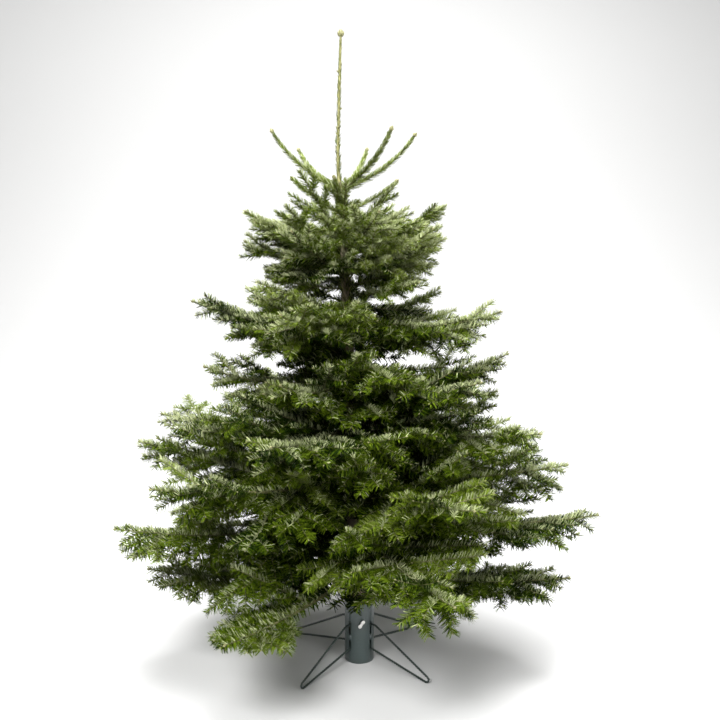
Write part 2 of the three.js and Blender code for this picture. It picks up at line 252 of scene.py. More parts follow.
def limb(tier_index, index):
    """One limb of a tier, from the trunk's axis to its tip."""
    name, level, headings, left, right, root, tip, scatter, pairs, _ = TIERS[tier_index]
    draw = Stream(SEED + TIER_STEP * tier_index + LIMB_STEP * index)
    azimuth = headings[index]
    height = level + draw.swing(scatter)
    rightward = (1 + math.cos(math.radians(azimuth))) / 2
    shallower = 1 - SHALLOW * abs(math.sin(math.radians(azimuth)))
    reach = mix(left, right, rightward) * shallower * (1 + draw.swing(REACH_SWING))
    rise = draw.swing(RISE_SWING)
    sway = draw.swing(SWAY)
    share = (np.arange(LIMB_STEPS) + 0.5) / LIMB_STEPS
    elevation = np.radians(mix(root, tip, share**TIP_BEND) + rise)
    heading = np.radians(azimuth + sway * share)
    steps = np.stack(
        [np.cos(heading) * np.cos(elevation), np.sin(heading) * np.cos(elevation), np.sin(elevation)],
        axis=1,
    )
    stride = reach / np.cos(elevation).sum()
    away = np.concatenate([np.zeros((1, 3)), np.cumsum(steps, axis=0)])
    points = trunk_point(height) + away * stride * MM
    length = stride * LIMB_STEPS
    thick = SHOOT_ROOT if pairs == 0 else LIMB_TIP + LIMB_TAPER * length
    node = f"{name}_{index + 1}"
    spray = TIER_STEP * tier_index + index
    return Twig(points, (thick, LIMB_TIP), 0, tier_index, node, spray, draw)


def side_line(parent, share, side, angle, tilt, length, steps):
    """A side twig's line: out from its parent at an angle, sweeping forward and up."""
    root = parent.at(share)[0]
    ahead = parent.heading(share)[0]
    across = unit(np.cross(UP, ahead)) * side
    out = ahead * math.cos(angle) + across * math.sin(angle) * math.cos(tilt) + UP * math.sin(tilt)
    t = np.linspace(0, 1, steps)[:, None]
    return root + (out * t + (ahead * FORWARD + UP * LIFT) * t * t) * length * MM


def lowest_tilt(parent, share, length, lowest=LOWEST):
    """The tilt that keeps a twig's tip from aiming below the lowest foliage."""
    above = parent.at(share)[0][2] / MM - lowest
    return math.asin(clamp(-above / length, -1, 0))


def hides_stand(points):
    """Whether a twig's tip is low in front of the stand."""
    x, y, z = points[-1] / MM
    return abs(x) < GAP_WIDE and GAP_NEAR < y < GAP_FAR and z < GAP_TOP


def side_sprays(parent):
    """The solids' side sprays, by the same draws in the same order, less any before the stand."""
    pairs, bough = TIERS[parent.tier][-2:]
    length_mm = parent.length / MM
    made = []
    for pair in range(pairs):
        for side in (-1, 1):
            draw = parent.draw
            first = max(SIDE_FIRST, bough + AFTER_BOUGH)
            share = mix(first, SIDE_LAST, (pair + SLIP * draw.next()) / (pairs - 1 + SLIP))
            angle = math.radians(SIDE_ANGLE + draw.swing(ANGLE_SWING))
            hang = math.radians(draw.swing(TILT_SWING))
            longer = 1 + draw.swing(SHARE_SWING)
            length = SIDE_SHARE * (1 - share) * length_mm * longer + SIDE_ADDED
            if length < LEAST:
                continue
            tilt = max(hang, lowest_tilt(parent, share, length))
            points = side_line(parent, share, side, angle, tilt, length, SIDE_POINTS)
            if hides_stand(points):
                continue
            spray = parent.spray + PAIR_SPRAYS * (pair + 1) + SIDE_SPRAYS * (side > 0)
            seed = Stream(FINER_SEED + spray)
            made.append(Twig(points, SIDE_RADII, 1, parent.tier, parent.node, spray, seed))
    return made


def finer_twigs(parent):
    """Twigs along both sides of a twig, shorter towards its tip."""
    made = []
    rules = FINER_HIGH if TIERS[parent.tier][1] > HIGH_FROM else FINER
    rule = dict(zip(FINER_KEYS, rules[parent.order]))
    length_mm = parent.length / MM
    run = length_mm - rule["foot"] - rule["tip"]
    count = max(0, round(run / rule["spacing"]))
    draw = parent.draw
    for i in range(count):
        for side in (-1, 1):
            place = rule["foot"] + (i + FINER_SLIP * draw.next() + FINER_SHIFT) * run / count
            share = place / length_mm
            angle = math.radians(rule["angle"] + draw.swing(FINER_ANGLE_SWING))
            hang = math.radians(rule["hang"] + draw.swing(FINER_TILT_SWING))
            left_over = length_mm - place
            longer = 1 + draw.swing(FINER_LENGTH_SWING)
            length = (rule["share"] * left_over + rule["added"]) * longer
            length = min(length, left_over * WITHIN_PARENT)
            if length < rule["least"]:
                continue
            tilt = max(hang, lowest_tilt(parent, share, length, FINER_LOWEST))
            points = side_line(parent, share, side, angle, tilt, length, FINER_POINTS)
            if hides_stand(points):
                continue
            seed = SPRAY_SEED * parent.spray + TWIG_SEED * len(made) + ORDER_SEED * parent.order
            order, tier, node, spray = parent.order + 1, parent.tier, parent.node, parent.spray
            made.append(Twig(points, FINER_RADII, order, tier, node, spray, Stream(FINER_SEED + seed)))
    return made


def crown_radius(z):
    """The crown's mean reach at a height, in millimetres, from the tiers."""
    heights = [tier[1] for tier in TIERS][::-1]
    reaches = [(tier[3] + tier[4]) / 2 for tier in TIERS][::-1]
    return float(np.interp(z, heights, reaches))


def inner_limbs():
    """Short limbs between the whorls, which close the crown round the trunk."""
    draw = Stream(INNER_SEED)
    made = []
    steps = [(foot, step) for low, high, step in INNER_ZONES for foot in range(low, high, step)]
    top = INNER_ZONES[-1][1]
    levels = np.array([tier[1] for tier in TIERS])
    for i, (foot, step) in enumerate(steps):
        z = min(foot + step * draw.next(), top)
        azimuth = math.radians(INNER_TURN * i + draw.swing(INNER_TURN_SWING))
        length = INNER_SHARE * crown_radius(z) * (INNER_SHORTEST + INNER_SPREAD * draw.next())
        steeper = STEEPER * clamp((z - STEEP_FROM) / (top - STEEP_FROM), 0, 1)
        rise = math.radians(INNER_RISE + steeper + draw.swing(INNER_RISE_SWING))
        level, lift = math.cos(rise), math.sin(rise)
        out = np.array([math.cos(azimuth) * level, math.sin(azimuth) * level, lift])
        t = np.linspace(0, 1, SIDE_POINTS)[:, None]
        points = trunk_point(z) + (out * t + UP * LIFT * t * t) * length * MM
        tier = int(np.abs(levels - z).argmin())
        draws = Stream(INNER_SEED + INNER_SEED_STEP * i)
        name = INNER_NAMES[z > INNER_SPLIT]
        made.append(Twig(points, INNER_RADII, 1, tier, name, INNER_SPRAY + i, draws))
    return made


@functools.cache
def grown():
    """Every limb and twig of the tree, as lists by order."""
    orders = [[], [], [], []]
    for tier_index, tier in enumerate(TIERS):
        orders[0] += [limb(tier_index, index) for index in range(len(tier[2]))]
    for parent in orders[0]:
        if not parent.is_shoot():
            orders[1] += side_sprays(parent)
            orders[1] += finer_twigs(parent)
    orders[1] += inner_limbs()
    for order in (1, 2):
        for parent in orders[order]:
            orders[order + 1] += finer_twigs(parent)
    return orders


# ---- Small tools for objects ----


def nothing_selected():
    if bpy.context.object and bpy.context.object.mode != "OBJECT":
        bpy.ops.object.mode_set(mode="OBJECT")
    bpy.ops.object.select_all(action="DESELECT")


def only(piece):
    nothing_selected()
    piece.select_set(True)
    bpy.context.view_layer.objects.active = piece
    return piece


def apply_modifier(piece, kind, **settings):
    """Adds a modifier, sets it in the order given and applies it."""
    modifier = piece.modifiers.new(kind.lower(), kind)
    for key, value in settings.items():
        setattr(modifier, key, value)
    only(piece)
    bpy.ops.object.modifier_apply(modifier=modifier.name)


def settled(piece, name):
    """A piece with its place, turn and size in its mesh, and a plain name."""
    only(piece)
    bpy.ops.object.transform_apply(location=True, rotation=True, scale=True)
    piece.name = name
    return piece


def joined(parts, name):
    """Several parts made one piece."""
    nothing_selected()
    for part in parts:
        part.select_set(True)
    bpy.context.view_layer.objects.active = parts[0]
    bpy.ops.object.join()
    return settled(bpy.context.object, name)


def pebble(place, rotation, size, segments):
    """A ball pressed to a size, turned and put in its place."""
    nothing_selected()
    bpy.ops.mesh.primitive_uv_sphere_add(
        segments=segments, ring_count=14, radius=1, location=place, rotation=rotation
    )
    bpy.context.object.scale = size
    bpy.ops.object.transform_apply(location=True, rotation=True, scale=True)
    return bpy.context.object


def roughen(piece, name, scale, depth, strength):
    """Lumps and hollows in a piece's surface."""
    relief = bpy.data.textures.new(name, "CLOUDS")
    relief.noise_scale = scale
    relief.noise_depth = depth
    settings = {"strength": strength, "mid_level": 0.5, "texture_coords": "LOCAL"}
    apply_modifier(piece, "DISPLACE", texture=relief, **settings)


def smooth(piece, degrees=40):
    """Shades a piece smooth, but for edges sharper than an angle."""
    only(piece)
    bpy.ops.object.shade_smooth_by_angle(angle=math.radians(degrees))


def declare(piece, slot, *nodes):
    """Hands a finished piece to the frame: it rides and stands for its nodes; its slot is not used."""
    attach(piece, BODY)
    if nodes:
        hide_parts(*nodes)
    return piece


def swept(name, splines, materials, resolution):
    """One mesh of round lines through points with radii; a spline is (points, radii, material)."""
    curve = bpy.data.curves.new(name, "CURVE")
    curve.dimensions = "3D"
    curve.bevel_depth = 1.0
    curve.bevel_resolution = resolution
    curve.use_fill_caps = True
    for points, radii, material in splines:
        spline = curve.splines.new("POLY")
        spline.points.add(len(points) - 1)
        co = np.ones((len(points), 4), np.float32)
        co[:, :3] = points
        spline.points.foreach_set("co", co.ravel())
        spline.points.foreach_set("radius", np.asarray(radii, np.float32))
        spline.material_index = material
        spline.use_smooth = True
    for material in materials:
        curve.materials.append(material)
    piece = bpy.data.objects.new(name, curve)
    bpy.context.scene.collection.objects.link(piece)
    only(piece)
    bpy.ops.object.convert(target="MESH")
    return bpy.context.object


# ---- Materials ----

# A Mix node's sockets for colours, by their places: its share, its two colours and its result.
MIX_SHARE, MIX_FIRST, MIX_SECOND, MIX_COLOR = 0, 6, 7, 2


class Value:
    """A socket with arithmetic: an expression on values adds its Math nodes."""

    def __init__(self, finish, socket):
        self.finish = finish
        self.socket = socket

    def _math(self, operation, a, b):
        return self.finish.node("ShaderNodeMath", {"operation": operation}, {0: a, 1: b})

    def __add__(self, other):
        return self._math("ADD", self, other)

    __radd__ = __add__

    def __mul__(self, other):
        return self._math("MULTIPLY", self, other)

    __rmul__ = __mul__


class Finish:
    """A material under construction, with Object coordinates at hand."""

    def __init__(self, name, color, roughness, metallic=0.0, coat=0.0, specular=0.5):
        self.material = bpy.data.materials.new(name)
        self.material.use_nodes = True
        self.material.diffuse_color = (*color, 1)
        self.tree = self.material.node_tree
        self.shader = self.tree.nodes["Principled BSDF"]
        values = {
            "Base Color": (*color, 1),
            "Roughness": roughness,
            "Metallic": metallic,
            "Coat Weight": coat,
            "Specular IOR Level": specular,
        }
        for socket, value in values.items():
            self.shader.inputs[socket].default_value = value
        self.place = self.node("ShaderNodeTexCoord", {}, {}, "Object")

    def node(self, kind, settings, inputs, output=0):
        """Any node: its settings come first, then the values or links of its sockets."""
        made = self.tree.nodes.new(kind)
        for key, value in settings.items():
            setattr(made, key, value)
        for key, value in inputs.items():
            if isinstance(value, Value):
                self.tree.links.new(value.socket, made.inputs[key])
            else:
                made.inputs[key].default_value = value
        return Value(self, made.outputs[output])

    def noise(self, scale, detail=3.0, roughness=0.55, stretch=None):
        """An uneven value from 0 to 1; its scale counts the lumps in a metre."""
        place = self.place
        if stretch:
            place = self.node("ShaderNodeMapping", {}, {"Vector": place, "Scale": stretch})
        values = {"Vector": place, "Scale": scale, "Detail": detail, "Roughness": roughness}
        return self.node("ShaderNodeTexNoise", {}, values, "Fac")

    def blend(self, share, a, b):
        """A colour between two, by a value."""
        a, b = (end if isinstance(end, Value) else (*end, 1) for end in (a, b))
        sockets = {MIX_SHARE: share, MIX_FIRST: a, MIX_SECOND: b}
        return self.node("ShaderNodeMix", {"data_type": "RGBA"}, sockets, MIX_COLOR)

    def step(self, value, low, high):
        """0 below low, 1 above high, smooth between."""
        inputs = {"Value": value, "From Min": low, "From Max": high}
        return self.node("ShaderNodeMapRange", {"interpolation_type": "SMOOTHSTEP"}, inputs)

    def feed(self, socket, value):
        """Links a value to a socket of the shader."""
        self.tree.links.new(value.socket, self.shader.inputs[socket])

    def bump(self, height, strength, distance):
        """Small relief in the shading alone."""
        inputs = {"Height": height, "Strength": strength, "Distance": distance}
        self.feed("Normal", self.node("ShaderNodeBump", {}, inputs))


def lighter(color, factor):
    """A colour times a factor, darker where that is below 1."""
    return tuple(min(1.0, channel * factor) for channel in color)


def needle_material(name, color):
    """A waxy needle in one plain base colour, with a slight unevenness from needle to needle."""
    finish = Finish(name, color, roughness=0.5, specular=0.05)
    uneven = finish.step(finish.noise(75, 2), 0.32, 0.68)
    finish.feed("Base Color", finish.blend(uneven, lighter(color, 0.72), lighter(color, 1.25)))
    return finish.material


ALGAE = (0.09, 0.12, 0.05)


def bark_material(name, color, scale):
    """Grey-brown fir bark with resin blisters, dark cracks and a little green."""
    finish = Finish(name, color, roughness=0.85, specular=0.3)
    broad = finish.noise(scale, 5, 0.6)
    fine = finish.noise(scale * 9, 4, 0.6, (1, 1, 0.35))
    tint = finish.blend(finish.step(broad, 0.35, 0.68), lighter(color, 0.6), lighter(color, 1.45))
    algae = finish.step(finish.noise(scale * 0.45, 3), 0.52, 0.66)
    tint = finish.blend(algae * 0.45, tint, ALGAE)
    cracks = finish.step(fine, 0.55, 0.75) * 0.6
    finish.feed("Base Color", finish.blend(cracks, tint, lighter(color, 0.35)))
    finish.bump(broad + fine * 0.5, 0.5, 0.002)
    return finish.material


def twig_material(name, color, roughness=0.6):
    """Young shoots: pale and downy."""
    finish = Finish(name, color, roughness, specular=0.35)
    patches = finish.step(finish.noise(220, 3), 0.35, 0.65)
    finish.feed("Base Color", finish.blend(patches, lighter(color, 0.75), lighter(color, 1.2)))
    finish.bump(finish.noise(900, 2), 0.25, 0.0005)
    return finish.material


def paint_material(name, color, roughness, worn):
    """Stoved paint on steel: faint orange peel, dust in patches and duller spots."""
    finish = Finish(name, color, roughness, metallic=0.1, coat=0.25)
    finish.shader.inputs["Coat Roughness"].default_value = 0.28
    cloud = finish.noise(34, 4)
    dust = finish.step(finish.noise(120, 5, 0.7), 0.54, 0.78)
    tint = finish.blend(cloud, lighter(color, 0.85), lighter(color, 1.18))
    finish.feed("Base Color", finish.blend(dust * worn, tint, lighter(color, 3.2)))
    finish.feed("Roughness", dust * 0.22 + roughness)
    finish.bump(finish.noise(700, 2), 0.12, 0.0004)
    return finish.material


# ---- Settings that a user would change ----


def length_setting(name, description, default):
    """A length that a user may change."""
    return FloatProperty(name=name, description=description, default=default, unit="LENGTH")


def color_setting(name, description, default):
    """A colour that a user may change."""
    return FloatVectorProperty(name=name, description=description, subtype="COLOR", default=default)


class FirCrownSettings(bpy.types.PropertyGroup):
    """Needles, twigs and bark."""

    needle_length: length_setting("Needle length", "Length of a full-grown needle", 0.026)
    needle_width: length_setting("Needle width", "Widest part of a needle", 0.0027)
    needles_per_metre: IntProperty(
        name="Needles per metre", description="Needles on a metre of twig", default=1540
    )
    # Deep green is the old needles' colour; near the trunk it is also dealt out as painted shade.
    deep: color_setting("Deep green", "Old needles", (0.006, 0.016, 0.0004))
    green: color_setting("Green", "Most needles", (0.052, 0.084, 0.003))
    bright: color_setting("Bright green", "Needles on lit sprays", (0.094, 0.138, 0.008))
    young: color_setting("Young green", "Last year's needles", (0.14, 0.175, 0.04))
    # Silver is the pale underside of upturned needles and, on the sprays' ridges, also a painted sheen.
    silver: color_setting("Silver", "Upturned needles", (0.31, 0.34, 0.18))
    shoot: color_setting("Young shoots", "Bark of the youngest twigs", (0.32, 0.31, 0.12))
    twig: color_setting("Old twigs", "Bark of older twigs", (0.10, 0.095, 0.04))
    bark: color_setting("Bark", "Trunk and boughs", (0.16, 0.125, 0.085))
    bud: color_setting("Buds", "Winter buds", (0.19, 0.185, 0.085))


class FirStandSettings(bpy.types.PropertyGroup):
    """The steel stand."""

    rib_pitch: length_setting("Rib pitch", "Distance between ribs on the rods", 0.0082)
    rib_height: length_setting("Rib height", "Height of a rib", 0.0010)
    tube_paint: color_setting("Tube paint", "Paint on the tube", (0.045, 0.062, 0.06))
    rod_paint: color_setting("Rod paint", "Paint on the rods", (0.012, 0.022, 0.018))
    zinc: color_setting("Zinc", "Plating of the screw", (0.78, 0.77, 0.74))


class FirStageSettings(bpy.types.PropertyGroup):
    """Floor, lights and camera."""

    lens: FloatProperty(name="Lens", description="Focal length in millimetres", default=42.5)
    distance: length_setting("Distance", "Camera to the trunk", 2.508)
    height: length_setting("Height", "Camera over the floor", 1.25)
    down: FloatProperty(
        name="Tilt",
        description="Downward tilt of the camera",
        default=math.radians(7.23),
        subtype="ANGLE",
    )
    floor: color_setting("Floor", "Floor and backdrop", (0.5, 0.5, 0.497))


# ---- Bark and twigs ----

# Millimetres from ring to ring of the trunk, and how far its old and young bark pass the
# leader's foot.
TRUNK_STEP = 6.0
OLD_BARK_PAST, YOUNG_BARK_BEFORE = 12, 6

# The points of a limb's line, how much it thickens at its knots and how close they are, and the
# points of a twig's line by its order.
LIMB_POINTS, LIMB_KNOTS, KNOT_TURNS = 60, 0.05, 90
TWIG_POINTS = {1: 7, 2: 4, 3: 4}


class FIR_OT_bark(bpy.types.Operator):
    """Make the trunk and the limbs with their bark's relief"""

    bl_idname = "fir.bark"
    bl_label = "Trunk and boughs"

    def execute(self, context):
        settings = context.scene.fir_crown
        bark = bark_material("fir_bark", settings.bark, scale=28)
        # The green bark of the leader and of the shoots round it is darkened as painted shade.
        green_bark = twig_material("leader_bark", lighter(settings.shoot, LEADER_PAINTED_SHADE))
        heights = np.arange(TRUNK_RADII[0][0], TRUNK_RADII[-1][0] + 1, TRUNK_STEP)
        levels, widths = zip(*TRUNK_RADII)
        radii = np.interp(heights, levels, widths) * MM
        points = np.array([trunk_point(z) for z in heights])
        old = heights <= LEADER_FOOT + OLD_BARK_PAST
        trunk = swept("trunk_bark", [(points[old], radii[old], 0)], [bark], resolution=10)
        roughen(trunk, "bark_relief", scale=0.022, depth=3, strength=0.0022)
        smooth(trunk)
        declare(trunk, "bark", "trunk")
        young = heights >= LEADER_FOOT - YOUNG_BARK_BEFORE
        stem = [(points[young], radii[young], 0)]
        leader = swept("leader_stem", stem, [green_bark], resolution=4)
        smooth(leader)
        declare(leader, "bark")

        splines = []
        shares = np.linspace(0, 1, LIMB_POINTS)
        for one in grown()[0]:
            knots = 1 + LIMB_KNOTS * np.sin(shares * KNOT_TURNS + one.spray)
            splines.append((one.at(shares), one.radius(shares) * knots, int(one.is_shoot())))
        brown_bark = bark_material("bough_bark", settings.twig, scale=60)
        boughs = swept("bough_bark", splines, [brown_bark, green_bark], resolution=3)
        roughen(boughs, "bough_relief", scale=0.009, depth=2, strength=0.0009)
        smooth(boughs)
        declare(boughs, "bark", *[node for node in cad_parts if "bough" in node])
        return {"FINISHED"}


class FIR_OT_twigs(bpy.types.Operator):
    """Make the side twigs, finer with each order"""

    bl_idname = "fir.twigs"
    bl_label = "Twigs"

    def execute(self, context):
        settings = context.scene.fir_crown
        old = twig_material("old_twig", settings.twig)
        young = twig_material("young_twig", settings.shoot)
        orders = grown()
        splines = []
        for order, points in TWIG_POINTS.items():
            shares = np.linspace(0, 1, points)
            for one in orders[order]:
                splines.append((one.at(shares), one.radius(shares), int(order > 1)))
        twigs = swept("twigs", splines, [old, young], resolution=0)
        declare(twigs, "bark")
        return {"FINISHED"}


# ---- Needles ----

# The shades run from dark to light. SILVER and LIGHTEST are places in this row.
SHADES = ("deep", "green", "bright", "young", "silver")
SILVER, LIGHTEST = 4, 3
NEEDLE_FOOT, NEEDLE_TIP = 0.95, 0.42

# How needles stand on a twig: a row each for those on top, at the sides and below, with their
# share, their turn round the twig from the top, their lean away from it, their size and how far
# they may be twisted. Angles are in degrees. A low twig is combed flat and a high one is round.
FAN = (
    (0.38, 0, 52, 60, 0.58, 0.80, 60),
    (0.35, 70, 95, 64, 0.92, 1.04, 8),
    (0.27, 106, 138, 62, 0.88, 1.04, 8),
)
ROUND = (
    (0.36, 0, 60, 43, 0.70, 0.82, 50),
    (0.36, 60, 115, 45, 0.74, 0.86, 30),
    (0.28, 115, 172, 43, 0.70, 0.82, 30),
)
ROUND_FROM, ROUND_FULL = 0.98, 1.30

# A twig has this many needles or none. They start inside it, at a share of its radius.
FEWEST = 4
SUNK = 0.7
LEAN_SWING = 3

# These keep a needle that points straight up from losing its sides.
NUDGE, WIDE_NUDGE = 1e-4, 0.01

# The last needles of a twig close in on its tip, by an angle and a share of their size.
CLOSE_TIP, CLOSE_ANGLE, CLOSE_SMALLER = 0.022, 22, 0.25
OPEN_SMALLER = 0.35
WIDTHS = (0.85, 1.15)
HIGHER_SLIMMER = 0.22

# Near the trunk needles are darker, wider and fewer, and fewer of them silver: the darker green
# is painted shade of the crown's inside, and the wider needles close the gaps there. This is how
# far out that goes, as a share of the crown's reach, how soft its edge is, and how much of it is
# lost on a round twig.
HEART, HEART_EDGE, HEART_OPENED = 0.42, 1.25, 0.75
HEART_WIDER, HEART_THINNER, HEART_DULLER = 0.8, 0.52, 0.8
HEART_PLACE, HEART_LEVEL = 0.5, 1000

# The shade of a needle: its spray's tone, one down or up for some, and silver on the ridge.
# The ridge's silver is partly the pale underside of upturned needles and partly a painted sheen
# on the lit tops of the sprays, more of it higher up.
TONES_LOW, TONES_HIGH = (0.26, 0.56, 0.18, 0), (0, 0.15, 0.50, 0.35)
DARKER_BELOW, LIGHTER_ABOVE, LIGHTER_TIP = 0.22, 0.80, 0.2
RIDGE = (1.15, 0.95, 0.24, 0.15)
RIDGE_LOW, RIDGE_RISE, RIDGE_SWING, RIDGE_MOST = 0.55, 1.2, (0.55, 1.15), 0.95
RIDGE_EDGE, RIDGE_FADE = math.radians(78), math.radians(26)
SILVER_SIDES, ROUND_SILVER = 0.03, 0.34
SHOOT_GREEN = 0.12

BARE_LIMB, BARE_TWIG = 0.1, 0.03
LENGTH_LOW, LENGTH_FALL = 1.08, 0.2
HIGHER_CROWD = 0.6

# Habits of shoots in the open: the bare share at their foot, how crowded, how long, how silvery
# and how light their needles are, and how much closer they lie towards the tip.
SHOOT = {"start": 0.02, "crowd": 2.4, "longer": 1.05, "silvery": 0.34, "tone": 3, "closer": 20}
STEM = {"start": 0.01, "crowd": 1.2, "longer": 0.7, "silvery": 0.3, "tone": 2, "closer": 30}
UPPER_TRUNK = {"start": 0.0, "crowd": 3.2, "longer": 1.2, "silvery": 0.3, "tone": 1, "closer": 0}
STEM_RADII, UPPER_TRUNK_RADII = (4.6, 3.0), (21, 11)
STEM_TOP, UPPER_TRUNK_FOOT = TOP - 22, 1000
# Painted shade: the leader's needles and green bark are darkened by this factor, against the top lamp
# close above them.
LEADER_PAINTED_SHADE = 0.68
LEADER_SEED = 500


def needle_mesh(name, needles, materials):
    """One mesh of flat needles, each tapering to a blunt tip."""
    keys = ("base", "ahead", "wide", "size", "shade")
    base, ahead, wide, size, shade = (np.concatenate([part[key] for part in needles]) for key in keys)
    length, half = size[:, :1], size[:, 1:] / 2
    tip = base + ahead * length
    corners = [
        base - wide * half * NEEDLE_FOOT,
        base + wide * half * NEEDLE_FOOT,
        tip + wide * half * NEEDLE_TIP,
        tip - wide * half * NEEDLE_TIP,
    ]
    count = len(base)
    places = np.stack(corners, axis=1).astype(np.float32)
    mesh = bpy.data.meshes.new(name)
    mesh.vertices.add(4 * count)
    mesh.vertices.foreach_set("co", places.ravel())
    mesh.loops.add(4 * count)
    mesh.loops.foreach_set("vertex_index", np.arange(4 * count, dtype=np.int32))
    mesh.polygons.add(count)
    mesh.polygons.foreach_set("loop_start", np.arange(0, 4 * count, 4, dtype=np.int32))
    mesh.polygons.foreach_set("material_index", shade.astype(np.int32))
    for material in materials:
        mesh.materials.append(material)
    mesh.update(calc_edges=True)
    piece = bpy.data.objects.new(name, mesh)
    bpy.context.scene.collection.objects.link(piece)
    return piece


def needles_on(
    twig, rng, settings, roundness, start, crowd, longer, silvery, tone, closer=0.0, open_air=False
):
    """Needles along a twig: combed to both sides, with shorter ones on top and some below."""
    count = int(twig.length * (1 - start) * settings.needles_per_metre * crowd)
    if count < FEWEST:
        return None
    share = np.clip(start + (1 - start) * (np.arange(count) + rng.random(count)) / count, 0, 1)
    ahead = twig.heading(share)
    across = unit(np.cross(UP + NUDGE, ahead))
    over = np.cross(ahead, across)

    rows = mix(np.array(FAN), np.array(ROUND), roundness)
    group = rng.choice(3, count, p=rows[:, 0] / rows[:, 0].sum())
    low, high, lean, least, most, twist = rows[group, 1:].T
    side = np.where(rng.random(count) < 0.5, -1.0, 1.0)
    turn = np.radians(rng.uniform(low, high)) * side
    from_tip = (1 - share) * twig.length
    ending = np.clip(1 - from_tip / CLOSE_TIP, 0, 1)
    tilt = np.radians(rng.normal(lean - closer * share, LEAN_SWING) - CLOSE_ANGLE * ending)
    radial = over * np.cos(turn)[:, None] + across * np.sin(turn)[:, None]
    out = unit(ahead * np.cos(tilt)[:, None] + radial * np.sin(tilt)[:, None])
    wide = unit(np.cross(out, over + WIDE_NUDGE))
    roll = np.radians(rng.normal(0, twist))[:, None]
    wide = unit(wide * np.cos(roll) + np.cross(out, wide) * np.sin(roll))
    base = twig.at(share) + radial * (twig.radius(share) * SUNK)[:, None]

    outward = np.hypot(base[:, 0] - trunk_point(HEART_LEVEL)[0] * HEART_PLACE, base[:, 1])
    reach = crown_radius(twig.points[0][2] / MM) * MM
    heart_and_painted_shade = np.clip(HEART_EDGE - outward / (HEART * reach), 0, 1)
    heart_and_painted_shade = heart_and_painted_shade * (1 - HEART_OPENED * roundness) * (not open_air)
    size = settings.needle_length * longer * rng.uniform(least, most) * (1 - CLOSE_SMALLER * ending)
    size *= 1 - OPEN_SMALLER * share * open_air
    width = settings.needle_width * rng.uniform(*WIDTHS, count) * (1 + HEART_WIDER * heart_and_painted_shade)
    width *= 1 - HIGHER_SLIMMER * roundness

    pick = rng.random(count)
    shade = np.full(count, tone)
    shade = np.where(pick < DARKER_BELOW, max(tone - 1, 0), shade)
    shade = np.where(pick > LIGHTER_ABOVE - LIGHTER_TIP * share, min(tone + 1, LIGHTEST), shade)
    # Painted shade: near the trunk some needles take the deepest green, and fewer turn silver.
    shade = np.where(rng.random(count) < heart_and_painted_shade, 0, shade)
    silvery = silvery * (1 - HEART_DULLER * heart_and_painted_shade)
    # Silver on the ridge: partly the pale underside of upturned needles, partly a painted sheen on the
    # lit top.
    sides = SILVER_SIDES + ROUND_SILVER * roundness
    ridge_underside_and_sheen = 1 if open_air else np.clip((RIDGE_EDGE - np.abs(turn)) / RIDGE_FADE, sides, 1)
    shade = np.where(rng.random(count) < silvery * ridge_underside_and_sheen, SILVER, shade)
    shade = np.where((rng.random(count) < SHOOT_GREEN) & open_air, 1, shade)
    kept = rng.random(count) > HEART_THINNER * heart_and_painted_shade
    size = np.stack([size, width], axis=1)
    made = {"base": base, "ahead": out, "wide": wide, "size": size, "shade": shade}
    return {key: values[kept] for key, values in made.items()}


class FIR_OT_needles(bpy.types.Operator):
    """Clothe every twig in needles, with a mesh for each limb"""

    bl_idname = "fir.needles"
    bl_label = "Needles"

    def execute(self, context):
        settings = context.scene.fir_crown
        materials = [needle_material("needles_" + shade, getattr(settings, shade)) for shade in SHADES]
        twigs = [one for order in grown() for one in order]
        for node in dict.fromkeys(one.node for one in twigs):
            parts = [self.clothe(one, settings) for one in twigs if one.node == node]
            piece = needle_mesh("needles_" + node, [part for part in parts if part], materials)
            declare(piece, "needles", *([node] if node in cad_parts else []))
        return {"FINISHED"}

    def clothe(self, twig, settings):
        """The needles of one twig, coloured with its spray."""
        rng = np.random.default_rng([twig.spray, twig.order, int(twig.length * MICROMETRES)])
        foot = twig.points[0][2]
        height = foot / (TOP * MM)
        roundness = clamp((foot - ROUND_FROM) / (ROUND_FULL - ROUND_FROM), 0, 1)
        if twig.is_shoot():
            return needles_on(twig, rng, settings, 1, open_air=True, **SHOOT)
        spray = np.random.default_rng(twig.spray)
        tones = mix(np.array(TONES_LOW), np.array(TONES_HIGH), roundness)
        tone = int(spray.choice(4, p=tones))
        ridge = RIDGE[twig.order] * (RIDGE_LOW + RIDGE_RISE * height) * spray.uniform(*RIDGE_SWING)
        start = BARE_LIMB if twig.order == 0 else BARE_TWIG
        crowd = 1 + HIGHER_CROWD * roundness
        longer = LENGTH_LOW - LENGTH_FALL * height
        silvery = min(ridge, RIDGE_MOST)
        return needles_on(twig, rng, settings, roundness, start, crowd, longer, silvery, tone)


